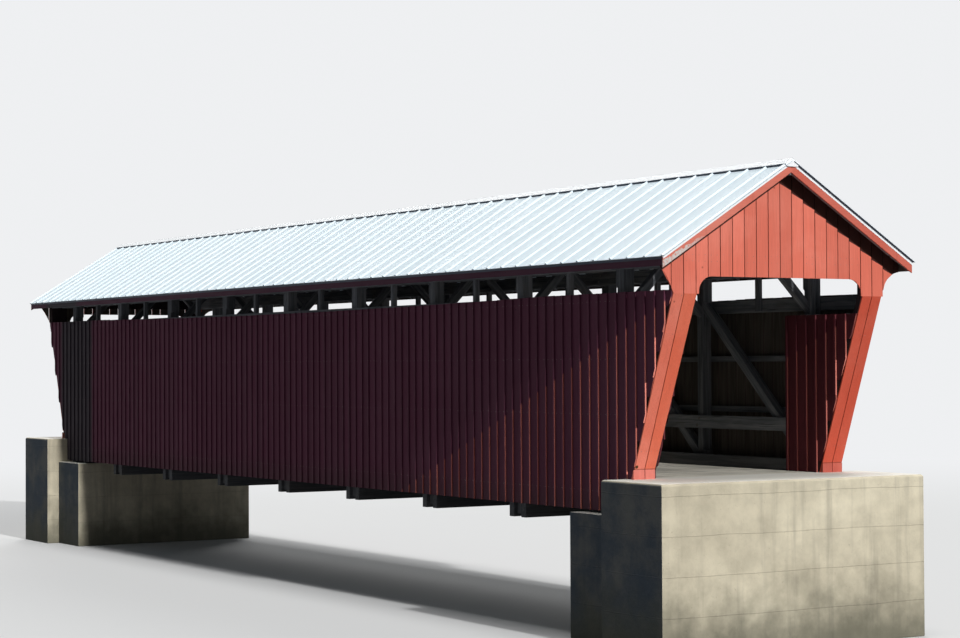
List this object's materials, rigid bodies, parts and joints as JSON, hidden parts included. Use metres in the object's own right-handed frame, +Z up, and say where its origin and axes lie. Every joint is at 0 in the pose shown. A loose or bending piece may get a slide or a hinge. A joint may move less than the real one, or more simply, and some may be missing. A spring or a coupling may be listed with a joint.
{
  "type": "covered bridge",
  "caption": "Timber covered bridge with multiple kingpost trusses, board and batten walls, slanted portals, a metal gable roof and concrete abutments.",
  "frame": {"origin": "on the ground under the middle of the span, at the foot of the abutments", "axes": "+X along the bridge towards the near portal, +Y to the right side seen from that portal looking in, +Z up"},
  "size_m": [27.62, 5.2, 7.5964],
  "materials": {
    "portal_red": "faded barn red paint",
    "siding_red": "dark barn red paint",
    "grey_timber": "weathered, unpainted",
    "deck_planks": "worn, unpainted",
    "roof_metal": "white, satin",
    "concrete": "cast concrete, weathered"
  },
  "bodies": {
    "root": {"near_abutment": "concrete", "far_abutment": "concrete", "bed_timbers": "grey_timber", "floor_beams": "grey_timber", "stringers": "grey_timber", "deck": "deck_planks", "left_bottom_chord": "grey_timber", "right_bottom_chord": "grey_timber", "left_posts": "grey_timber", "right_posts": "grey_timber", "left_braces": "grey_timber", "right_braces": "grey_timber", "left_top_chord": "grey_timber", "right_top_chord": "grey_timber", "left_girts": "grey_timber", "right_girts": "grey_timber", "strip_studs": "grey_timber", "guard_rails": "grey_timber", "curbs": "grey_timber", "tie_beams": "grey_timber", "knee_braces": "grey_timber", "lateral_braces": "grey_timber", "rafters": "grey_timber", "ridge_board": "grey_timber", "left_purlins": "grey_timber", "right_purlins": "grey_timber", "left_roof": "roof_metal", "right_roof": "roof_metal", "ridge_cap": "roof_metal", "near_verge_trims": "roof_metal", "far_verge_trims": "roof_metal", "left_siding": "siding_red", "right_siding": "siding_red", "fascias": "siding_red", "near_gable": "portal_red", "far_gable": "portal_red", "near_rakes": "portal_red", "far_rakes": "portal_red", "near_legs": "portal_red", "far_legs": "portal_red", "near_frame": "grey_timber", "far_frame": "grey_timber", "near_end_panels": "siding_red", "far_end_panels": "siding_red"}
  },
  "joints": []
}
